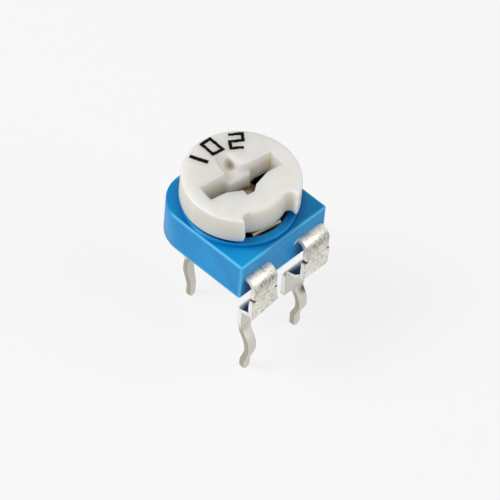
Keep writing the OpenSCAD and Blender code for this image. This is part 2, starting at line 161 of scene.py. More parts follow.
# %% [markdown]
# ## Round edges
# Moulded plastic has no sharp edges. The edges to round are found by the place of their middle
# and by their direction, and bevelled while each is still whole.

# %% Bevel chosen edges
SAME = 0.001


def bevel_edges(piece, radius, segments, test):
    """Rounds the edges whose middle and direction pass the test."""
    def passes(edge):
        one, other = (vert.co for vert in edge.verts)
        return test((one + other) / 2, (other - one).normalized())

    with editing(piece, "EDGE"):
        pick(piece, "edges", passes)
        bpy.ops.mesh.bevel(offset=radius, segments=segments, affect="EDGES")


def bevel_level(piece, level, radius, segments):
    bevel_edges(piece, radius, segments, lambda middle, along: abs(middle.z - level) < SAME)


print("a level holds within", SAME, "mm")

# %% [markdown]
# ## Posts and blocks
# The plainest shapes to add or take away are a cube and a cylinder with so many sides that it
# looks round.

# %% Posts and blocks
SIDES = 160
SMALL_SIDES = 64


def post(name, radius, bottom, top, sides=SIDES):
    """An upright cylinder round the axis."""
    return start(name, bpy.ops.mesh.primitive_cylinder_add, vertices=sides, radius=radius,
                 depth=top - bottom, location=(0, 0, (bottom + top) / 2))


def block(name, low, high):
    low, high = Vector(low), Vector(high)
    return start(name, bpy.ops.mesh.primitive_cube_add, size=1, location=(low + high) / 2,
                 scale=high - low)


print("sides of a post:", SIDES)

# %% [markdown]
# ## Outlines
# A slot or a figure is easiest to draw: as a list of points, whose corners become arcs. The
# outline becomes a flat filled curve, then a mesh, which is extruded.

# %% Outlines with round corners
MERGE = 0.0005


def arc_points(before, here, after, radius, steps=6):
    """Points of the round corner that replaces the point here."""
    along, onward = (here - before).normalized(), (after - here).normalized()
    turn = math.atan2(along.x * onward.y - along.y * onward.x, along.dot(onward))
    first = here - along * radius * math.tan(abs(turn) / 2)
    centre = first + Vector((-along.y, along.x)) * math.copysign(radius, turn)
    return [centre + Matrix.Rotation(turn * i / steps, 2) @ (first - centre)
            for i in range(steps + 1)]


def rounded(corners, usual):
    """A closed outline; a corner is (x, y) or (x, y, radius)."""
    flat = [Vector(corner[:2]) for corner in corners]
    radii = [corner[2] if len(corner) > 2 else usual for corner in corners]
    following = flat[1:] + flat[:1]
    return [point for i, radius in enumerate(radii)
            for point in arc_points(flat[i - 1], flat[i], following[i], radius)]


def extrude(*by):
    """Extrudes what is selected."""
    bpy.ops.mesh.extrude_region_move(TRANSFORM_OT_translate={"value": by})


def extruded(name, outlines, bottom, top):
    """A solid over flat outlines; one inside another makes a hole."""
    curve = bpy.data.curves.new(name, "CURVE")
    curve.dimensions, curve.fill_mode = "2D", "BOTH"
    for outline in outlines:
        line = curve.splines.new("POLY")
        line.points.add(len(outline) - 1)
        for point, place in zip(line.points, outline):
            point.co = (*place, bottom, 1)
        line.use_cyclic_u = True
    piece = bpy.data.objects.new(name, curve)
    bpy.context.collection.objects.link(piece)
    select_only(piece)
    bpy.ops.object.convert(target="MESH")
    piece = bpy.context.object
    with editing(piece):
        select_all()
        bpy.ops.mesh.remove_doubles(threshold=MERGE)
        bpy.ops.mesh.dissolve_limited(angle_limit=math.radians(1))
        select_all()
        extrude(0, 0, top - bottom)
        select_all()
        bpy.ops.mesh.normals_make_consistent(inside=False)
    return piece


print("points merge within", MERGE, "mm")

# %% [markdown]
# ## Modifiers and cuts
# A modifier is set up, applied and gone. Boolean cuts a piece with another, adds it, or keeps
# what both share, and uses the tool up. A narrow Bevel breaks sharp edges.

# %% Modify, turn, combine and soften
SHARP_FROM = 50


def modify(piece, kind, **settings):
    select_only(piece)
    modifier = piece.modifiers.new(kind.capitalize(), kind)
    for setting, value in settings.items():
        setattr(modifier, setting, value)
    bpy.ops.object.modifier_apply(modifier=modifier.name)
    return piece


def placed(piece, matrix):
    """Moves or turns a piece, and fixes that in its mesh."""
    piece.matrix_world = matrix
    return settle(piece)


def turned(piece, angle, axis):
    return placed(piece, Matrix.Rotation(math.radians(angle), 4, axis))


def combine(piece, operation, *tools):
    """Joins tools to a piece, cuts them out, or keeps what is shared."""
    for tool in tools:
        modify(piece, "BOOLEAN", operation=operation, solver="EXACT", object=tool)
        bpy.data.objects.remove(tool)
    return piece


def soften(piece, width):
    """Breaks the sharp edges of a piece with a narrow round."""
    modify(piece, "BEVEL", width=width, segments=2, limit_method="ANGLE",
           angle_limit=math.radians(SHARP_FROM), use_clamp_overlap=False,
           miter_outer="MITER_ARC")


print("edges are sharp from", SHARP_FROM, "degrees")

# %% [markdown]
# ## Soft forms
# Plastic that shrank in its mould has wide soft rounds, made here by smoothing near a line. A
# leg bent in handling is pulled by one point, with proportional editing.

# %% Pull and blend
def pull(piece, at, by, reach):
    """Pulls the point nearest to a place, and what lies within reach."""
    with editing(piece, "VERT"):
        mesh = bmesh.from_edit_mesh(piece.data)
        at = Vector(at)
        min(mesh.verts, key=lambda vert: (vert.co - at).length).select_set(True)
        bmesh.update_edit_mesh(piece.data)
        bpy.ops.transform.translate(value=by, use_proportional_edit=True,
                                    proportional_edit_falloff="SMOOTH", proportional_size=reach)


def blend_along(piece, one, other, reach, rounds, above):
    """Smooths a piece near a line seen from above, most of all close to it."""
    one, other = Vector(one), Vector(other)

    def distance(place):
        foot, share = intersect_point_line(place, one, other)
        nearest = one if share < 0 else other if share > 1 else foot
        return (place - nearest.xy).length

    with editing(piece, "VERT"):
        for part in (1, 0.8, 0.6):
            pick(piece, "verts", lambda vert: vert.co.z > above
                 and distance(vert.co.xy) < reach * part)
            bpy.ops.mesh.vertices_smooth(factor=0.5, repeat=rounds)


print("ready to pull and blend")

# %% [markdown]
# ## Handing a piece over
# A finished piece is shrunk to metres and shaded smooth, with weighted normals that keep flat
# faces flat. Then it rides on its body, names its finish, and hides the nodes it stands for.

# %% Finish a piece
SMOOTH_UP_TO = 38


def hand_over(piece, finish, body, nodes=()):
    """Shrinks and smooths a piece, dresses it and joins it to the frame."""
    piece.scale = (MM, MM, MM)
    settle(piece)
    bpy.ops.object.shade_smooth_by_angle(angle=math.radians(SMOOTH_UP_TO))
    modify(piece, "WEIGHTED_NORMAL", keep_sharp=True)
    piece.data.materials.clear()
    piece.data.materials.append(finish)
    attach(piece, body)
    if nodes:
        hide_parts(*nodes)
    print(f"{piece.name}: {len(piece.data.polygons)} faces on {body}")


print(f"shaded smooth up to {SMOOTH_UP_TO} degrees")

# %% [markdown]
# ## Wiring a finish
# A finish is a Principled shader with textures in front of it. What is even is set on the
# shader's own socket, and what varies is wired in. One tree is open at a time, as in the node
# editor, and every helper works on it.

# %% Nodes, finishes and wires
def add_node(kind, inputs=(), **settings):
    """Adds a node; an input is a value or the output that it is wired to."""
    made = tree.nodes.new("ShaderNode" + kind)
    for name, value in settings.items():
        setattr(made, name, value)
    for name, value in dict(inputs).items():
        if isinstance(value, bpy.types.NodeSocket):
            tree.links.new(value, made.inputs[name])
        else:
            made.inputs[name].default_value = value
    return made


def socket(name):
    """An input of the shader, named with _ for a space."""
    return tree.nodes["Principled BSDF"].inputs[name.replace("_", " ")]


def new_finish(name, **values):
    """Opens the tree of a new material and sets its shader's plain values."""
    global tree
    finish = bpy.data.materials.new(name)
    finish.use_nodes = True
    tree = finish.node_tree
    for which, value in values.items():
        socket(which).default_value = value
    print("finish:", name)
    return finish


def wire(**outputs):
    for which, output in outputs.items():
        tree.links.new(output, socket(which))


print("ready to wire")

# %% [markdown]
# ## Sums with shares
# A finish is mostly shares from 0 to 1: how much of a mark lies here, how near an edge is. They
# are multiplied where all must hold, and the largest counts where any will do.

# %% Arithmetic
def calculate(operation, one, other):
    """Arithmetic on two numbers, each a value or an output."""
    return add_node("Math", {0: one, 1: other}, operation=operation).outputs["Value"]


def product(*values):
    return reduce(lambda one, other: calculate("MULTIPLY", one, other), values)


def largest(*values):
    return reduce(lambda one, other: calculate("MAXIMUM", one, other), values)


def ramp(value, start_at, end_at, low=0.0, high=1.0):
    """Maps a value between two levels to the range from low to high."""
    return add_node("MapRange", {"Value": value, "From Min": start_at, "From Max": end_at,
                                 "To Min": low, "To Max": high}).outputs["Result"]


def band(value, low, low_full, high_full, high):
    """1 between the two middle levels, and down to 0 at the outer ones."""
    return product(ramp(value, low, low_full), ramp(value, high, high_full))


print("ready to calculate")

# %% [markdown]
# ## Places and patterns
# All patterns read Object coordinates, one unit for a millimetre. So a mark can be put at a
# height or round the axis, and grain keeps its real size.

# %% Where a place lies
FLAT = 1e6
# EDGE_HIGHLIGHT_W: how far the painted highlight reaches in from the edges of the blue base
EDGE_HIGHLIGHT_W = 0.16


def millimetres(stretch=(1, 1, 1)):
    """Object coordinates in millimetres, stretched if asked."""
    place = add_node("TexCoord").outputs["Object"]
    scale = [1 / MM / s for s in stretch]
    return add_node("Mapping", {"Vector": place, "Scale": scale}).outputs["Vector"]


def axes(vector):
    return add_node("SeparateXYZ", {0: vector}).outputs


def facing():
    """The way that the surface faces."""
    return axes(add_node("TexCoord").outputs["Normal"])


def measure(operation, *vectors):
    """A number from vectors: a LENGTH, DISTANCE or DOT_PRODUCT."""
    return add_node("VectorMath", enumerate(vectors), operation=operation).outputs["Value"]


def axis_distance():
    """Distance from the rotor's axis, with the height stretched away."""
    return measure("LENGTH", millimetres((1, 1, FLAT)))


def closed_in(reach):
    """The share of its surroundings, within reach, that closes a place in."""
    shade = add_node("AmbientOcclusion", {"Distance": reach * MM})
    return calculate("SUBTRACT", 1.0, shade.outputs["AO"])


def edge_zone(value, low, high):
    """Up to 1 close to either of two opposite faces."""
    beyond = largest(calculate("SUBTRACT", value, high), calculate("SUBTRACT", low, value))
    return ramp(beyond, -EDGE_HIGHLIGHT_W, -0.3 * EDGE_HIGHLIGHT_W)


print("edges worn over", EDGE_HIGHLIGHT_W, "mm")

# %% [markdown]
# ## Noise, relief and colour
# Noise breaks up what would look too even. Colours are given as a screen shows them, turned
# into light, and laid over each other like coats of paint.

# %% Noise, relief and colour
def cloud(size, detail=2, rough=0.5, stretch=(1, 1, 1)):
    """Soft noise whose patches are about size millimetres across."""
    return add_node("TexNoise", {"Vector": millimetres(stretch), "Scale": 1 / size,
                                 "Detail": detail, "Roughness": rough}).outputs["Fac"]


def emboss(height, depth):
    """A gentle bump from a height, depth millimetres deep."""
    return add_node("Bump", {"Height": height, "Distance": depth * MM,
                             "Strength": 0.5}).outputs["Normal"]


def colour(red, green, blue):
    """A colour as a screen shows it, from 0 to 255, turned into light."""
    light = [v / 255 for v in (red, green, blue)]
    return (*[v / 12.92 if v <= 0.04045 else ((v + 0.055) / 1.055) ** 2.4 for v in light], 1)


def blend(share, one, other):
    """Mixes two colours; each is a value or an output."""
    return add_node("Mix", {0: share, 6: one, 7: other}, data_type="RGBA").outputs[2]


def two_tone(pattern, low, high, first, second):
    """From one colour to another while a pattern rises."""
    return blend(ramp(pattern, low, high), colour(*first), colour(*second))


def paint(under, share, tint):
    return blend(share, under, colour(*tint))


print("middle grey as light:", round(colour(128, 128, 128)[0], 3))

# %% [markdown]
# ## Blue plastic: colour
# The base is a filled thermoplastic in a strong blue, satin rather than glossy, with faint flow
# marks. Its edges get a painted highlight of paler blue. An edge is where two faces meet, so the
# share of highlight is that of being near both.

# %% Blue plastic: colour and painted edge highlight
RIM_H = 0.24
RIM_W = 0.45
SEAT = 0.02
base_top = base_high.z - RIM_H
well_r = element_high.x + SEAT

blue_plastic = new_finish("blue_moulded_plastic", IOR=1.33, Subsurface_Weight=0.06,
                          Subsurface_Radius=(0.3, 0.8, 1.0), Subsurface_Scale=0.2 * MM)
at = axes(millimetres())
blue = two_tone(cloud(1.6, detail=3), 0.3, 0.7, (0, 134, 200), (6, 148, 212))
zones = [edge_zone(at[axis], low, high) for axis, low, high in (
    ("X", base_low.x, base_high.x), ("Y", base_low.y, base_high.y), ("Z", base_low.z, base_top))]
# painted highlight: the base is made paler blue along every edge
highlighted = largest(*[product(zones[i], zones[i - 1]) for i in range(3)])
blue = paint(blue, product(highlighted, 0.75), (96, 205, 250))
print(f"edges rubbed up to {base_top:.2f} mm")

# %% [markdown]
# ## Blue plastic: shade and grain
# Light is lost in the well and under the rotor. Ambient occlusion finds such hollows, and the
# distance from the axis finds the well and the foot of the rim. A fine grain from the mould
# gives the sheen its texture.

# %% Blue plastic: hollows and grain
hollow_shading = ramp(closed_in(1.6), 0.3, 0.75)
blue = paint(blue, hollow_shading, (0, 88, 162))
from_axis = axis_distance()
forward = measure("DOT_PRODUCT", millimetres(), (0.6, -0.8, 0))
rim_r = well_r + RIM_W
rim_foot = product(ramp(from_axis, rim_r + 0.6, rim_r, 0.0, 0.7), ramp(forward, 0.5, 2.0),
                   band(at["Z"], base_top - 0.3, base_top - 0.1, base_top, base_top + 0.1))
blue = paint(blue, rim_foot, (0, 92, 156))
in_well = product(ramp(from_axis, well_r + 0.02, well_r),
                  ramp(at["Z"], base_high.z - 0.1, base_high.z - 0.3))
blue = paint(blue, in_well, (0, 26, 58))
grain = cloud(0.09, detail=3)
relief = calculate("ADD", grain, product(cloud(0.35, detail=3), 2.0))
wire(Base_Color=blue, Roughness=ramp(grain, 0.3, 0.7, 0.34, 0.46), Normal=emboss(relief, 0.012))
print(f"rim: radius {well_r:.2f} to {rim_r:.2f} mm")

# %% [markdown]
# ## White plastic
# Light enters the milky white rotor and comes out nearby, so its edges glow, and a warm light is
# painted into its hollows. The outer wall is painted a trace greyer as shade, and a painted shadow
# darkens the pit at the end of the pointer.

# %% White plastic
PIT = (0.27, 1.34, rotor_high.z - 0.58)

white_plastic = new_finish("white_moulded_plastic", IOR=1.48, Subsurface_Weight=1.0,
                           Subsurface_Radius=(1.0, 0.88, 0.7), Subsurface_Scale=2.0 * MM)
white = two_tone(cloud(1.1, detail=3), 0.3, 0.7, (227, 224, 217), (235, 232, 227))
# painted shade: the sideways facing outer wall of the rotor is made a trace greyer
shaded_outer_wall = product(ramp(axis_distance(), 2.3, 2.5), ramp(facing()["Z"], 0.8, 0.4))
white = paint(white, shaded_outer_wall, (216, 212, 203))
# painted light: the hollows of the rotor are tinted a warm cream
hollow_shading = ramp(closed_in(0.8), 0.2, 0.75)
white = paint(white, hollow_shading, (252, 236, 204))
rest_angle = math.radians(rest_turn)
pit = Matrix.Rotation(rest_angle, 3, "Z") @ Vector(PIT)
from_pit = measure("DISTANCE", millimetres(), pit)
# painted shadow: the pit at the end of the pointer is darkened brown
white = paint(white, ramp(from_pit, 0.5, 0.1, 0.0, 0.9), (120, 104, 76))
grain = cloud(0.07, detail=3)
wire(Base_Color=white, Roughness=ramp(grain, 0.3, 0.7, 0.42, 0.56), Normal=emboss(grain, 0.006))
print("pit at", [round(v, 2) for v in pit])

# %% [markdown]
# ## Tinned sheet: specks
# The terminals are stamped from tinned sheet, dull and cloudy on the straps and cleaner on the
# legs. All marks, and the painted shade of the nicks and of one leg, are gathered into one share,
# which is then painted and pressed in. First come stains and specks.

# %% Tinned sheet: specks
tinned_sheet = new_finish("tinned_sheet", Metallic=0.7)
at, towards = axes(millimetres()), facing()
patches = cloud(0.5, detail=4, rough=0.6)
low_down = ramp(at["Z"], 1.6, 1.2)
stains = ramp(cloud(0.2, detail=5, rough=0.65), 0.45, 0.72, 0.0, 0.72)
specks = ramp(cloud(0.075, detail=4, rough=0.7), 0.58, 0.64)
marks_and_shade = product(largest(stains, specks), ramp(cloud(0.9), 0.38, 0.62, 0.45, 1.0),
                ramp(low_down, 0, 1, 1.0, 0.22))
print("nodes so far:", len(tree.nodes))

# %% [markdown]
# ## Tinned sheet: bend
# The bending tool rubbed the straps where they turn down. The noise is stretched along the
# strap, and only a band of heights keeps it.

# %% Tinned sheet: bend
BEND_Z = (3.4, 4.2, 4.35, 4.72)

at_bend = band(at["Z"], *BEND_Z)
scratches = product(ramp(cloud(0.045, rough=0.6, stretch=(1, 14, 14)), 0.42, 0.66, 0.0, 0.8),
                    ramp(cloud(0.3), 0.3, 0.6, 0.35, 1.0))
blots = ramp(cloud(0.14, detail=4, rough=0.65, stretch=(1, 2, 2)), 0.46, 0.66, 0.12, 0.8)
marks_and_shade = largest(marks_and_shade, product(largest(scratches, blots), at_bend))
print(f"scratched from {BEND_Z[0]} to {BEND_Z[-1]} mm")

# %% [markdown]
# ## Tinned sheet: edges
# The cut faces are cleaner, and their rims are darkened in patches. A Bevel node bends the normal
# near an edge, so a rim is where it leaves the flat one. The nicks get painted shade, and so does
# one leg above its kink.

# %% Tinned sheet: edges
NICK_Z = 3.3
NICK_H = 0.1
NICK_FADE = 0.06
LEG_SHADE_Z = (-0.7, -0.4, -0.25, -0.05)

cut_face = ramp(calculate("ABSOLUTE", towards["X"], 0.0), 0.6, 0.9)
marks_and_shade = product(marks_and_shade, ramp(cut_face, 0, 1, 1.0, 0.25))
bent_normal = add_node("Bevel", {"Radius": 0.06 * MM}).outputs["Normal"]
flat_normal = add_node("NewGeometry").outputs["Normal"]
# the rims of the cut faces are darkened in patches
rim_patches = ramp(cloud(0.22, detail=4, rough=0.7), 0.38, 0.48)
rims = product(ramp(measure("DOT_PRODUCT", bent_normal, flat_normal), 0.985, 0.93), rim_patches,
               ramp(low_down, 0, 1, 0.95, 0.7))
off_leg = calculate("SUBTRACT", calculate("ABSOLUTE", at["X"], 0.0), leg_pitch / 2)
# painted shade in the nicks of the straps
nick_shade = product(ramp(calculate("ABSOLUTE", off_leg, 0.0), 0.70, 0.76),
                  band(at["Z"], NICK_Z - NICK_FADE, NICK_Z, NICK_Z + NICK_H,
                       NICK_Z + NICK_H + NICK_FADE))
# painted shade on the front of one leg, above its kink
leg_shade = product(band(at["Z"], *LEG_SHADE_Z), ramp(at["X"], 1.7, 2.2, 0.0, 0.9),
                 ramp(towards["Y"], -0.2, -0.7))
marks_and_shade = largest(marks_and_shade, rims, nick_shade, leg_shade)
print(f"nicks marked at {NICK_Z} mm")

# %% [markdown]
# ## Tinned sheet: coats
# The colour goes on in coats: two greys in patches, a duller one low down, bright cut faces, a
# painted shade that dims the bend, dark marks and painted shade, and the blue that the base throws
# on the shelves under it.

# %% Tinned sheet: coats
SHELF_Y = (-3.85, -3.7, -3.25, -2.9)
SHELF_LEVELS = (1.5, 1.6, 2.05, 2.2)

tin = two_tone(patches, 0.35, 0.65, (232, 228, 216), (248, 245, 237))
tin = paint(tin, low_down, (214, 212, 201))
cut_tin = two_tone(at["Z"], -0.5, 0.3, (176, 172, 154), (246, 245, 240))
tin = blend(cut_face, tin, cut_tin)
# painted shade that dims the shine of the straps where they bend
tin = paint(tin, product(at_bend, 0.3), (204, 199, 186))
tin = paint(tin, marks_and_shade, (60, 53, 41))
on_shelf = product(band(at["Y"], *SHELF_Y), band(at["Z"], *SHELF_LEVELS),
                   ramp(towards["Z"], 0.4, 0.8))
tin = paint(tin, on_shelf, (16, 62, 104))
wire(Base_Color=tin, Roughness=ramp(patches, 0.3, 0.7, 0.34, 0.48),
     Normal=emboss(calculate("SUBTRACT", patches, marks_and_shade), 0.012))
print("nodes in the finish:", len(tree.nodes))

# %% [markdown]
# ## Wiper and eyelet
# Through the slot and under the window show a brass wiper and the head of an eyelet, both brown
# with age. A painted highlight runs along the front edge of the wiper, found by its distance
# along the way that the wiper points.

# %% Wiper and eyelet
WIPER_REACH = 2.5

wiper_brass = new_finish("wiper_brass", Metallic=0.4)
worn = cloud(0.2, detail=4, rough=0.6)
backward = measure("DOT_PRODUCT", millimetres(),
                   (-math.sin(rest_angle), math.cos(rest_angle), 0))
brass = two_tone(worn, 0.35, 0.65, (82, 66, 48), (116, 98, 74))
# painted highlight along the front edge of the wiper
front_edge_highlight = ramp(backward, -WIPER_REACH + 0.09, -WIPER_REACH + 0.06)
wire(Base_Color=paint(brass, front_edge_highlight, (236, 218, 190)),
     Roughness=ramp(worn, 0.3, 0.7, 0.28, 0.45))

eyelet_metal = new_finish("eyelet_metal", Metallic=1.0)
worn = cloud(0.25, detail=4, rough=0.6)
wire(Base_Color=two_tone(worn, 0.4, 0.65, (84, 62, 48), (168, 146, 122)),
     Roughness=ramp(worn, 0.3, 0.7, 0.25, 0.45), Normal=emboss(worn, 0.01))

# %% [markdown]
# ## Element and ink
# The resistive ring is brown board under black carbon, so its colour changes with height. The
# ink of the figures is black, and a little grey where it lies thin.

# %% Element and ink
carbon_board = new_finish("carbon_on_board")
height = axes(millimetres())["Z"]
fibres = cloud(0.12, detail=3, stretch=(3, 1, 1))
board = two_tone(fibres, 0.35, 0.65, (52, 34, 22), (74, 50, 32))
printed = ramp(height, element_high.z - 0.035, element_high.z - 0.03)
wire(Base_Color=paint(board, printed, (22, 21, 22)), Roughness=ramp(fibres, 0.3, 0.7, 0.5, 0.7))

black_ink = new_finish("black_ink", IOR=1.15)
wire(Base_Color=two_tone(cloud(0.08, detail=3), 0.4, 0.7, (4, 3, 4), (22, 20, 20)),
     Roughness=ramp(cloud(0.05), 0.3, 0.7, 0.5, 0.7))

# %% [markdown]
# ## Base: block
# The base is a block with two large round corners at the back. The upright edges of a cube are
# bevelled first, then those round its top and bottom, since a bevel that meets an earlier one
# follows its curve.

# %% Base block
BACK_CORNER_R = 2.2
FRONT_CORNER_R = 0.14
TOP_ROUND = 0.1
FOOT_ROUND = 0.05

base = block("base_moulding", base_low, (base_high.x, base_high.y, base_top))
bevel_edges(base, BACK_CORNER_R, 24, lambda middle, along: abs(along.z) > 0.9 and middle.y > 0)
bevel_edges(base, FRONT_CORNER_R, 5, lambda middle, along: abs(along.z) > 0.9 and middle.y < -3)
bevel_level(base, base_top, TOP_ROUND, 4)
bevel_level(base, base_low.z, FOOT_ROUND, 2)
print("block in mm:", [round(v, 2) for v in base.dimensions])

# %% [markdown]
# ## Base: rim, well and hub
# A low rim runs round the well that holds the resistive ring. In the middle stands a hub, whose
# ridge stops the rotor at both ends of its travel. Rim and hub are joined to the block, and the
# well is cut out of it.

# %% Rim, well and hub
OVER = 0.5
RIM_ROUND = 0.06
HUB_R = 1.0
RIDGE_R = 1.42
RIDGE_ANGLE = 110
SLIP = 0.03
BRUSH_T = 0.14


def sector(radius, angle, toward, steps):
    """Outline of a slice of pie with its point on the axis."""
    turns = [math.radians(toward + angle * (i / steps - 0.5)) for i in range(steps + 1)]
    return [Vector((0, 0))] + [Vector((radius * math.cos(a), radius * math.sin(a)))
                               for a in turns]


rim = post("rim", rim_r, base_top - 2 * OVER, base_high.z)
bevel_level(rim, base_high.z, RIM_ROUND, 3)
combine(base, "UNION", rim)
combine(base, "DIFFERENCE", post("well", well_r, element_low.z, base_high.z + 2 * OVER))

hub_foot = element_low.z - 0.2
hub_top = wiper_top - BRUSH_T - SLIP
hub = post("hub", HUB_R, hub_foot, hub_top, SMALL_SIDES)
ridge = extruded("ridge", [sector(RIDGE_R, RIDGE_ANGLE, -90, 16)], hub_foot, hub_top)
combine(base, "UNION", combine(hub, "UNION", ridge))
print(f"hub {hub_top - element_low.z:.2f} mm high in the well")

# %% [markdown]
# ## Base: openings
# The straps enter by two slots in the front, the wiper terminal lies in a ring seat and a
# channel underneath, and the eyelet goes right through. Each opening is a hair larger than the
# metal in it.

# %% Openings
SHEET_T = 0.3
STRAP_W = 1.74
STRAP_END_Y = -2.05
TAIL_W = 1.3
EYELET_R = 0.56
RING_R = 1.16
strap_z = strap_high.z - SHEET_T / 2

openings = [block("strap_slot", (side * leg_pitch / 2 - STRAP_W / 2 - SEAT, base_low.y - OVER,
                                 strap_z - SHEET_T / 2),
                  (side * leg_pitch / 2 + STRAP_W / 2 + SEAT, STRAP_END_Y,
                   strap_z + SHEET_T / 2 + SEAT)) for side in (-1, 1)]
openings += [
    post("ring_seat", RING_R + SEAT, base_low.z - OVER, base_low.z + SHEET_T, SMALL_SIDES),
    block("channel", (wiper_leg_x - TAIL_W / 2 - SEAT, 0, base_low.z - OVER),
          (wiper_leg_x + TAIL_W / 2 + SEAT, wiper_leg_y + 2 * SHEET_T, base_low.z + SHEET_T)),
    post("eyelet_hole", EYELET_R + SEAT, base_low.z - 2 * OVER, base_high.z + 2 * OVER,
         SMALL_SIDES)]
combine(base, "DIFFERENCE", *openings)
hand_over(base, blue_plastic, "base", ["base"])

# %% [markdown]
# ## Rotor: blank
# The rotor is a thick disc whose underside steps down twice, to a core inside the rim and to a
# seat for the wiper. A cylinder gets its top edge bevelled, and its bottom face is inset and
# extruded down, twice.

# %% Rotor blank
CORE_R = 2.58
SEAT_R = 1.42
TOP_EDGE_R = 0.14
rotor_top = rotor_high.z
rotor_bottom = base_high.z + 0.32
core_bottom = rotor_bottom - 0.06
seat_bottom = core_bottom - 0.12

rotor = post("rotor_moulding", rotor_high.x, rotor_bottom, rotor_top)
bevel_level(rotor, rotor_top, TOP_EDGE_R, 5)
with editing(rotor):
    for step, drop in ((rotor_high.x - CORE_R, rotor_bottom - core_bottom),
                       (CORE_R - SEAT_R, core_bottom - seat_bottom)):
        pick(rotor, "faces", lambda face: face.normal.z < -0.9
             and face.calc_center_median().xy.length < 0.1)
        bpy.ops.mesh.inset(thickness=step, depth=0)
        extrude(0, 0, -drop)
print("blank in mm:", [round(v, 2) for v in rotor.dimensions])

# %% [markdown]
# ## Rotor: window
# At the front the outer wall is cut away, and the core shows behind it, round along its top. The
# cutter is the window's outline, drawn flat and turned upright, less the core and a fillet at
# each side.

# %% Window in the wall
WINDOW_W = 3.36
WINDOW_CORNER_R = 0.3
CORE_EDGE_R = 0.5
FILLET_R = 0.3
CORNER_R = 0.06
SHARP = 0.01

half, far = WINDOW_W / 2, WINDOW_W / 2 + 2 * WINDOW_CORNER_R
right_side = [(half, rotor_top + OVER), (half, rotor_bottom, WINDOW_CORNER_R),
              (far, rotor_bottom), (far, rotor_bottom - OVER)]
outline = [(-corner[0], *corner[1:]) for corner in right_side] + right_side[::-1]
window = extruded("window", [rounded(outline, CORNER_R)], 0, rotor_high.x + OVER)
turned(window, 90, "X")
core = post("core", CORE_R, rotor_low.z - 2 * OVER, rotor_top)
bevel_level(core, rotor_top, CORE_EDGE_R, 12)
corner_y = -math.sqrt(CORE_R ** 2 - half ** 2)
fillets = [extruded("fillet", [rounded([
    (side * 0.9, -1.2), (side * 1.9, -1.2), (side * 1.9, -2.7), (side * half, -2.7),
    (side * half, corner_y, FILLET_R), (side * 1.163, -2.303)], SHARP)],
    core_bottom, rotor_top) for side in (-1, 1)]
combine(rotor, "DIFFERENCE", combine(window, "DIFFERENCE", core, *fillets))
print("window:", len(rotor.data.polygons), "faces")

# %% [markdown]
# ## Rotor: slot and pointer
# A screwdriver fits the slot, which goes right through, with a bow and a small notch in front.
# Behind it lies the pointer, a pocket whose floor rises to its end. Its cutter is kept only
# above the side view of that floor.

# %% Slot and pointer
half = slot_length / 2
slot = extruded("slot", [rounded([
    (-half, -0.48), (-1.35, -0.48, 0.8), (-0.515, -0.86), (-0.515, -1.24), (-0.065, -1.24),
    (0.335, -0.86), (1.35, -0.48, 0.8), (half, -0.48), (half, 0.58), (0.92, 0.58),
    (0.92, 0.28), (-0.60, 0.28), (-0.60, 0.58), (-half, 0.58)], CORNER_R)],
    seat_bottom - OVER, rotor_top + OVER)
pointer = extruded("pointer", [rounded([
    (-0.8, 0), (1.12, 0), (1.12, 0.58), (0.36, 0.58, 0.3), (0.20, 1.74), (-0.44, 1.74),
    (-0.60, 0.58), (-0.8, 0.58)], CORNER_R)], rotor_bottom, rotor_top + OVER)
floor_z, end_z = rotor_top - 0.6, rotor_top - 0.26
above_floor = extruded("pointer_floor", [[Vector(p) for p in (
    (-OVER, floor_z), (1.16, floor_z), (1.74, end_z), (rotor_high.x, rotor_top + OVER),
    (-OVER, rotor_top + OVER))]], -2, 2)
placed(above_floor, Matrix(((0, 0, 1, 0), (1, 0, 0, 0), (0, 1, 0, 0), (0, 0, 0, 1))))
combine(pointer, "INTERSECT", above_floor)
print(f"pointer floor rises from {floor_z:.2f} to {end_z:.2f} mm")

# %% [markdown]
# ## Rotor: lug, recess and rounds
# Under the rotor a lug runs into the ridge of the base, and a recess clears the eyelet. Then the
# piece is rebuilt from small even faces and smoothed, which melts every edge, most of all beside
# the window and along the pocket.

# %% Lug, recess and rounds
VOXEL = 0.04

lug = extruded("stop_lug", [sector(SEAT_R, 24, 90, 8)], rotor_low.z, rotor_bottom)
combine(lug, "DIFFERENCE", post("lug_inside", HUB_R + 2 * SLIP, rotor_low.z - 2 * OVER,
                                rotor_top, SMALL_SIDES))
combine(rotor, "UNION", lug)
recess = post("head_recess", eyelet_high.x + 2 * SLIP, seat_bottom - 2 * OVER,
              seat_bottom + 0.2, SMALL_SIDES)
combine(rotor, "DIFFERENCE", slot, pointer, recess)
modify(rotor, "REMESH", mode="VOXEL", voxel_size=VOXEL)
modify(rotor, "SMOOTH", factor=0.5, iterations=8)
for side in (-1, 1):
    blend_along(rotor, (side * 1.5, -1.5), (side * 1.3, -2.1), 0.4, 16, rotor_top - 0.8)
    blend_along(rotor, (side * 1.72, -2.0), (side * 1.72, -2.5), 0.35, 12, rotor_top - 0.5)
blend_along(rotor, (-0.1, 0.5), (-0.12, 1.5), 0.8, 20, rotor_bottom + 0.2)
blend_along(rotor, (0.64, 0.45), (0.5, 0.6), 0.45, 20, rotor_bottom + 0.2)
turned(rotor, rest_turn, "Z")
hand_over(rotor, white_plastic, "rotor", ["rotor"])

# %% [markdown]
# ## Value code: outlines
# Three plain figures are stamped on top, in straight strokes. The outline of each runs beside
# its middle line on both sides. A point every tenth of a millimetre is moved a little at random,
# as ink spreads.

# %% Outlines of the figures
INK_STEP = 0.1
INK_SPREAD = 0.016


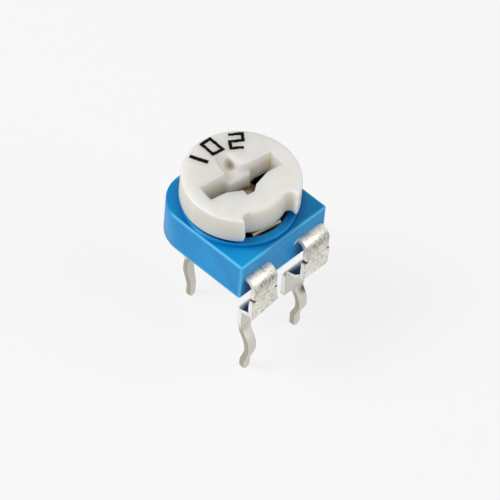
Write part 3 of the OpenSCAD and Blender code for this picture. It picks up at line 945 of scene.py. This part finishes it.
def shifted(corners, distance, closed):
    """The line beside the corners, to their left, at a distance."""
    count = len(corners)
    moved = []
    for i, here in enumerate(corners):
        before = corners[i - 1] if i or closed else None
        after = corners[(i + 1) % count] if i < count - 1 or closed else None
        ways = [(b - a).normalized() for a, b in ((before, here), (here, after)) if a and b]
        sides = [Vector((-way.y, way.x)) for way in ways]
        across = sum(sides, Vector((0, 0))).normalized()
        moved.append(here + across * distance / across.dot(sides[0]))
    return moved


def ragged(corners):
    """A closed outline in even steps, each point moved at random."""
    outline = []
    for here, there in zip(corners, corners[1:] + corners[:1]):
        count = max(1, round((there - here).length / INK_STEP))
        outline += [here.lerp(there, i / count) for i in range(count)]
    return [point + Vector((random.uniform(-1, 1), random.uniform(-1, 1))) * INK_SPREAD
            for point in outline]


print(f"ink spreads by up to {INK_SPREAD} mm")

# %% [markdown]
# ## Value code: stamping
# The outlines become one flat filled curve, in which the inside of the nought is a hole, and
# then a thin layer of ink. A fixed seed keeps the random numbers the same.

# %% Stamp the figures
INK_T = 0.022
INK_RISE = 0.012
FIGURE_SCALE = 0.985
FIGURES = (
    (0.24, False, (-1.54, 2.64), (-0.97, 1.76)),
    (0.185, True, (-0.51, 3.00), (0.11, 3.07), (0.26, 2.08), (-0.40, 2.08)),
    (0.185, False, (1.10, 2.77), (1.80, 2.45), (1.55, 2.02), (0.88, 2.33), (0.67, 1.90),
     (1.30, 1.58)))

random.seed(7)
outlines = []
for width, closed, *corners in FIGURES:
    line = [Vector(corner) * FIGURE_SCALE for corner in corners]
    left, right = [shifted(line, side * width / 2, closed) for side in (1, -1)]
    outlines += [ragged(side) for side in ([left, right] if closed else [left + right[::-1]])]
ink_top = rotor_top + INK_RISE
figures = extruded("value_figures", outlines, ink_top - INK_T, ink_top)
turned(figures, rest_turn, "Z")
hand_over(figures, black_ink, "rotor")

# %% [markdown]
# ## Sheet metal: bent path
# The terminals are cut from flat sheet and bent. Seen from the side, a strip is a path of
# straights and arcs, cut into short steps, and shorter ones where its edges turn sharply.

# %% Bent paths
STEP = 0.07
HAIR = 0.03


def bent_path(points, radii):
    """Side view of a strip: points (y, z) whose inner corners are bent."""
    flat = [Vector(p) for p in points]
    bends = [arc_points(flat[i], flat[i + 1], flat[i + 2], radius)
             for i, radius in enumerate(radii)]
    return [flat[0]] + [point for bend in bends for point in bend] + [flat[-1]]


def stations(path, levels):
    """Points along a path, a step apart at most, and closer at the levels."""
    places = [path[0]]
    for here in path[1:]:
        last = places[-1]
        gap = here - last
        if gap.length < SAME:
            continue
        cuts = math.ceil(gap.length / STEP)
        shares = [(i + 1) / cuts for i in range(cuts)]
        if abs(gap.y) > STEP / 10:
            shares += [(level + side - last.y) / gap.y
                       for level in levels for side in (-HAIR, HAIR)]
        places += [last + gap * share for share in sorted(shares) if 0.0001 < share <= 1]
    return places


print(f"stations at most {STEP} mm apart")

# %% [markdown]
# ## Sheet metal: walking along
# A plane is the first step of a strip. Its far edge is extruded from station to station, made
# wider or narrower, and wavers a little, as a sheared edge does. Solidify gives the sheet its
# thickness.

# %% Walk a strip
EDGE_WAVER = 0.006
SHEET_EDGE_R = 0.028


def walk(name, path, levels, edges, seed):
    """A strip along a path; edges gives its left and right side at a station."""
    random.seed(seed)
    places = stations(path, levels)
    left, right = edges(places[0])
    strip = start(name, bpy.ops.mesh.primitive_plane_add, size=1,
                  location=((left + right) / 2, (places[0].x + places[1].x) / 2, places[0].y),
                  scale=(right - left, abs(places[1].x - places[0].x), 1))
    far_y = places[1].x
    with editing(strip, "EDGE"):
        pick(strip, "edges", lambda edge: all(abs(v.co.y - far_y) < SAME for v in edge.verts))
        for last, here in zip(places[1:], places[2:]):
            new_left, new_right = (side + random.uniform(-EDGE_WAVER, EDGE_WAVER)
                                   for side in edges(here))
            shift = (new_left + new_right - left - right) / 2
            extrude(shift, here.x - last.x, here.y - last.y)
            bpy.ops.transform.resize(
                value=((new_right - new_left) / (right - left), 1, 1),
                center_override=((new_left + new_right) / 2, here.x, here.y))
            left, right = new_left, new_right
    modify(strip, "SOLIDIFY", thickness=SHEET_T, offset=0, use_even_offset=True)
    with editing(strip):
        select_all()
        bpy.ops.mesh.normals_make_consistent(inside=False)
    return strip


print(f"sheared edges waver by {EDGE_WAVER} mm")

# %% [markdown]
# ## Legs
# All three legs have a kink that snaps into the hole of the board and a round tip. The side view
# gives the path, and the height of a station its width.

# %% Shape of a leg
LEG_W = 0.64
LEG_RADII = (0.3, 1.1, 1.1, 0.8)
leg_bottom = strap_low.z


def leg_points(y, depth, kink_z):
    """Side view of a leg: into the kink, along it, and back to the tip."""
    return [(y, kink_z + 0.7), (y + depth, kink_z), (y + depth, kink_z - 0.65),
            (y, kink_z - 1.65), (y, leg_bottom)]


def ease(value, start_at, end_at):
    """Runs smoothly from 0 to 1 between two levels."""
    share = min(1, max(0, (value - start_at) / (end_at - start_at)))
    return share * share * (3 - 2 * share)


def leg_side(z, width=LEG_W):
    """Half the width of a leg at a height; it narrows to a round tip."""
    half = width / 2 - 0.06 * ease(-z, 1.4, 2.8)
    above_tip = min(0, z - leg_bottom - half)
    return math.sqrt(max(0.0004, half ** 2 - above_tip ** 2))


print(f"legs {-leg_bottom:.2f} mm long")

# %% [markdown]
# ## End terminals: edges
# A strap comes out of the base, bends down, folds back as a shelf, and turns down into a
# shoulder that stands on the board, above its leg. The strap has a nick in each edge and a wider
# foot, and the shoulder an ear on its inner side.

# %% Edges of an end terminal
SHELF_Z = 1.84
SHELF_DROP = 0.2
NICK_DEPTH = 0.08
WIDE = 0.95
FOLD_R = 0.22
EAR = 0.2
TAPER = 0.2
TAPER_Z = (-0.4, 0.42)
strap_y = strap_low.y + SHEET_T / 2
shelf_back_z = SHELF_Z - SHELF_DROP


def end_edges(place):
    """Inner and outer edge at a station, from the middle of the leg."""
    y, z = place
    if z < shelf_back_z - SAME and (y > leg_y - FOLD_R - 0.01 or z < shelf_back_z - FOLD_R):
        inner = leg_side(z) if z < 0 else WIDE + EAR * ease(shelf_back_z - z, 0, EAR)
        outer = LEG_W / 2 + TAPER * ease(z, *TAPER_Z) if z > -0.45 else leg_side(z)
        return -inner, outer
    if y > strap_y + SAME and z < SHELF_Z + 0.1:
        back = (y - strap_y) / FOLD_R
        return -WIDE + 0.12 * ease(back, 0.2, 1) - 0.12 * ease(back, 1.2, 2), \
            WIDE - 0.23 * ease(back, 0, 1)
    half = WIDE
    if z > NICK_Z:
        half = STRAP_W / 2 if z > NICK_Z + NICK_H else STRAP_W / 2 - NICK_DEPTH
    return -half, half


print(f"shelf at {SHELF_Z} mm, nick {NICK_DEPTH} mm deep")

# %% [markdown]
# ## End terminals
# Both are walked along the same path, mirrored. Then handling leaves its marks: the corners of
# the foot and the tip of the leg are pulled aside, differently on each.

# %% End terminals
STRAP_BEND_R = 0.5


def end_terminal(node, side, kink_z, pulls):
    """An end terminal, with its small bends from handling."""
    middle = side * leg_pitch / 2
    path = bent_path([(STRAP_END_Y, strap_z), (strap_y, strap_z), (strap_y, SHELF_Z),
                      (leg_y, shelf_back_z)] + leg_points(leg_y, -0.42, kink_z),
                     (STRAP_BEND_R, FOLD_R, FOLD_R) + LEG_RADII)
    strip = walk(node + "_strip", path, (NICK_Z + NICK_H, NICK_Z, 0),
                 lambda place: sorted(middle + side * edge for edge in end_edges(place)),
                 seed=3 + side)
    for (out, y, z), by, reach in pulls:
        pull(strip, (middle + out, y, z), by, reach)
    soften(strip, SHEET_EDGE_R)
    hand_over(strip, tinned_sheet, "base", [node])


foot_z = SHELF_Z - SHEET_T / 2
end_terminal("right_terminal", 1, -0.85, [
    ((-WIDE, strap_y, foot_z), (0, 0, 0.16), 0.9),
    ((WIDE, strap_y, foot_z), (-0.10, 0, 0.14), 0.9),
    ((0, leg_y, leg_bottom), (0.15, 0, 0.02), 2.8)])
end_terminal("left_terminal", -1, -1.15, [
    ((-WIDE, strap_y, foot_z), (0.18, 0, -0.10), 0.9),
    ((WIDE, strap_y, foot_z), (0.16, 0, 0.22), 1.2),
    ((0, leg_y, leg_bottom), (0, -0.24, 0), 3.2)])

# %% [markdown]
# ## Wiper terminal
# The third terminal is a ring under the base, round the eyelet, with a tail that bends down at
# the back into a leg. The tail is walked, and the ring is a post joined to it.

# %% Wiper terminal
TAIL_LEG_W = 0.56
tail_z = base_low.z + SHEET_T / 2


def tail_edges(place):
    """Left and right edge of the tail and its leg."""
    half = TAIL_W / 2 if place.y > 0 else leg_side(place.y, TAIL_LEG_W)
    return wiper_leg_x - half, wiper_leg_x + half


path = bent_path([(EYELET_R + 0.2, tail_z), (wiper_leg_y, tail_z)]
                 + leg_points(wiper_leg_y, 0.3, -0.85), (FOLD_R,) + LEG_RADII)
tail = walk("wiper_terminal_strip", path, (0,), tail_edges, seed=9)
combine(tail, "UNION", post("ring", RING_R, base_low.z, base_low.z + SHEET_T, 96))
combine(tail, "DIFFERENCE", post("ring_hole", EYELET_R + SEAT, base_low.z - 2 * OVER,
                                 base_low.z + 2 * OVER, SMALL_SIDES))
soften(tail, SHEET_EDGE_R)
hand_over(tail, tinned_sheet, "base", ["wiper_terminal"])

# %% [markdown]
# ## A burr beside the strap
# Shearing leaves burrs. A sliver of tin hangs in front of the base beside the right strap. A
# ball drawn out into a thin spindle has such pointed ends.

# %% Burr
BURR_SIZE = (0.46, 0.1, 0.1)

burr = start("strap_burr", bpy.ops.mesh.primitive_ico_sphere_add, subdivisions=3, radius=0.5,
             scale=BURR_SIZE)
turned(burr, -35, "Y")
placed(burr, Matrix.Translation((0.98, base_low.y, 4.6)))
hand_over(burr, tinned_sheet, "base")

# %% [markdown]
# ## Eyelet
# A tube with rolled heads rivets the pile together. A plane merged at its centre is one point,
# which is extruded from corner to corner of the half section. The line is then spun round the
# axis, as on a lathe.

# %% Spin the eyelet
EYELET_WALL = 0.14
ROLL_R = 0.2
HEAD_EDGE = 0.04
head_r = eyelet_high.x
bore = EYELET_R - EYELET_WALL
under_head = eyelet_high.z - EYELET_WALL


def roll(face, side):
    """The round between the bore and the face of a head."""
    turns = [math.radians(90 * i / 6) for i in range(7)]
    return [(bore + ROLL_R * (1 - math.cos(a)), face - side * ROLL_R * (1 - math.sin(a)))
            for a in turns]


section = (roll(eyelet_low.z, -1)[::-1] + roll(eyelet_high.z, 1)
           + [(head_r - HEAD_EDGE, eyelet_high.z), (head_r, eyelet_high.z - HEAD_EDGE),
              (head_r, under_head), (EYELET_R, under_head), (EYELET_R, base_low.z),
              (head_r, base_low.z), (head_r, eyelet_low.z + HEAD_EDGE),
              (head_r - HEAD_EDGE, eyelet_low.z)])
eyelet = start("eyelet_spun", bpy.ops.mesh.primitive_plane_add, size=1)
with editing(eyelet, "VERT"):
    select_all()
    bpy.ops.mesh.merge(type="CENTER")
    select_all()
    bpy.ops.transform.translate(value=(section[0][0], 0, section[0][1]))
    for here, there in zip(section, section[1:] + section[:1]):
        extrude(there[0] - here[0], 0, there[1] - here[1])
    select_all()
    bpy.ops.mesh.remove_doubles(threshold=MERGE)
    select_all()
    bpy.ops.mesh.spin(steps=64, angle=math.tau, center=(0, 0, 0), axis=(0, 0, 1))
    select_all()
    bpy.ops.mesh.remove_doubles(threshold=MERGE)
    bpy.ops.mesh.normals_make_consistent(inside=False)
hand_over(eyelet, eyelet_metal, "base", ["center_eyelet"])

# %% [markdown]
# ## Nodes that stay
# The resistive ring and the wiper contact are mostly hidden, and their solids have the right
# shape. They only get their finishes.

# %% Dress the nodes that stay
for name, finish in (("resistive_element", carbon_board), ("wiper_contact", wiper_brass)):
    node = frame["nodes"][name]
    node.data.materials.clear()
    node.data.materials.append(finish)
    print(name, "wears", finish.name)

# %% [markdown]
# ## Floor
# The floor is a plain pale plane. To the camera, and to what metal mirrors, it is mostly a light
# of its own, so that it stays even. For all other light it is plain white matter.

# %% Floor
FLOOR_SIZE = 3
FLOOR_WHITE = 0.9
FLOOR_LIGHT = 0.95
SHADOW_SHARE = 0.15


def seen_directly():
    """1 where the camera, a mirror or glass looks, and 0 for all other light."""
    rays = add_node("LightPath").outputs
    return largest(*[rays[f"Is {kind} Ray"] for kind in ("Camera", "Glossy", "Transmission")])


floor = start("floor", bpy.ops.mesh.primitive_plane_add, size=FLOOR_SIZE,
              location=(0, 0, cad_box[0].z))
floor_finish = bpy.data.materials.new("pale_floor")
floor_finish.use_nodes = True
tree = floor_finish.node_tree
tree.nodes.remove(tree.nodes["Principled BSDF"])
white = add_node("BsdfDiffuse", {"Color": (*[FLOOR_WHITE] * 3, 1)}).outputs[0]
glow = add_node("Emission", {"Strength": FLOOR_LIGHT}).outputs[0]
seen = add_node("MixShader", {0: SHADOW_SHARE, 1: glow, 2: white}).outputs[0]
surface = add_node("MixShader", {0: seen_directly(), 1: white, 2: seen}).outputs[0]
tree.links.new(surface, tree.nodes["Material Output"].inputs["Surface"])
floor.data.materials.append(floor_finish)
print("floor at", round(cad_box[0].z / MM, 2), "mm")

# %% [markdown]
# ## Lamps and world
# A large soft lamp from the upper left gives the forms their light and dark, a weaker one fills
# from the other side, and a faint one lifts the left side. An even world does the rest. All come
# to about one on a level surface, so that a colour shows about as it is written.

# %% Lamps and world
WORLD_LIGHT = 0.28
middle = (cad_box[0] + cad_box[1]) / 2


def lamp(name, direction, distance, size, level):
    """A square lamp; level is the light on a surface facing it."""
    light = bpy.data.lights.new(name, "AREA")
    light.size = size
    light.energy = level * math.pi * math.pi * distance ** 2
    holder = bpy.data.objects.new(name, light)
    bpy.context.scene.collection.objects.link(holder)
    away = Vector(direction).normalized()
    holder.location = middle + away * distance
    holder.rotation_euler = away.to_track_quat("Z", "Y").to_euler()
    print(f"{name}: {light.energy:.3f} W")


lamp("key_lamp", (-0.55, 0.40, 0.80), distance=0.30, size=0.13, level=0.58)
lamp("fill_lamp", (0.4, -1.0, 0.9), distance=0.35, size=0.25, level=0.36)
lamp("side_lamp", (-1.0, -0.35, 0.35), distance=0.30, size=0.20, level=0.12)

world = bpy.data.worlds.new("even_light")
bpy.context.scene.world = world
world.use_nodes = True
tree = world.node_tree
around = tree.nodes["Background"]
around.inputs["Color"].default_value = (1, 1, 1, 1)
strength = ramp(seen_directly(), 0, 1, WORLD_LIGHT, FLOOR_LIGHT)
tree.links.new(strength, around.inputs["Strength"])
print(f"world at {WORLD_LIGHT}, seen at {FLOOR_LIGHT}")

# %% [markdown]
# ## Camera
# A long lens from far away keeps the perspective flat, as in a catalogue picture. The camera
# looks down from the front left, and is tilted a little.

# %% Camera
AZIMUTH, ELEVATION, TILT = math.radians(-50.26), math.radians(49.0), math.radians(5.65)
DISTANCE = 0.30
MM_ACROSS = 26.681
LOOK_AT = (0, 0.09, 3.3)
TO_THE_RIGHT = 0.795
DOWN = 0.998

back = Vector((math.sin(AZIMUTH) * math.cos(ELEVATION),
               -math.cos(AZIMUTH) * math.cos(ELEVATION), math.sin(ELEVATION)))
level = Vector((math.cos(AZIMUTH), math.sin(AZIMUTH), 0))
right = level * math.cos(TILT) + back.cross(level) * math.sin(TILT)
up = back.cross(right)
aim = (Vector(LOOK_AT) + right * TO_THE_RIGHT - up * DOWN) * MM

camera_data = bpy.data.cameras.new("camera")
camera_data.lens = camera_data.sensor_width * DISTANCE / (MM_ACROSS * MM)
camera_data.clip_start = 0.01
camera = bpy.data.objects.new("camera", camera_data)
bpy.context.scene.collection.objects.link(camera)
camera.matrix_world = Matrix((right, up, back)).transposed().to_4x4()
camera.location = aim + back * DISTANCE
bpy.context.scene.camera = camera
bpy.context.scene.view_settings.view_transform = "Standard"
print(f"lens {camera_data.lens:.1f} mm at {DISTANCE} m")
